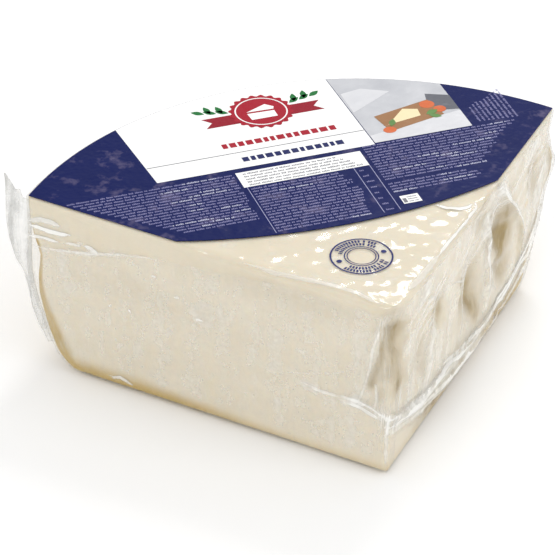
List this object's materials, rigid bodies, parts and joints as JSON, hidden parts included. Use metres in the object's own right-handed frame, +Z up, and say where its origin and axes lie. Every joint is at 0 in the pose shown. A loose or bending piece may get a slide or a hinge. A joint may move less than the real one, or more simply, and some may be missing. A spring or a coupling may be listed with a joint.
{
  "type": "vacuum-packed hard cheese chunk",
  "caption": "Quarter-round chunk of hard grating cheese sealed in clear vacuum film, rind on the curved side and foot, with a flat label on top.",
  "frame": {"origin": "on the underside, halfway between the point and the middle of the rim", "axes": "+Z up from the flat underside, +Y from the point towards the rind, +X to the right seen from the point"},
  "size_m": [0.3063, 0.2105, 0.1111],
  "materials": {
    "filmed_cheese": "pale straw-coloured hard cheese under tight clear film, golden brown rind on the curved side and along the foot",
    "label_print": "glossy navy blue printed label with a white panel"
  },
  "bodies": {
    "root": {"sealed_chunk": "filmed_cheese", "label": "label_print"}
  },
  "joints": []
}
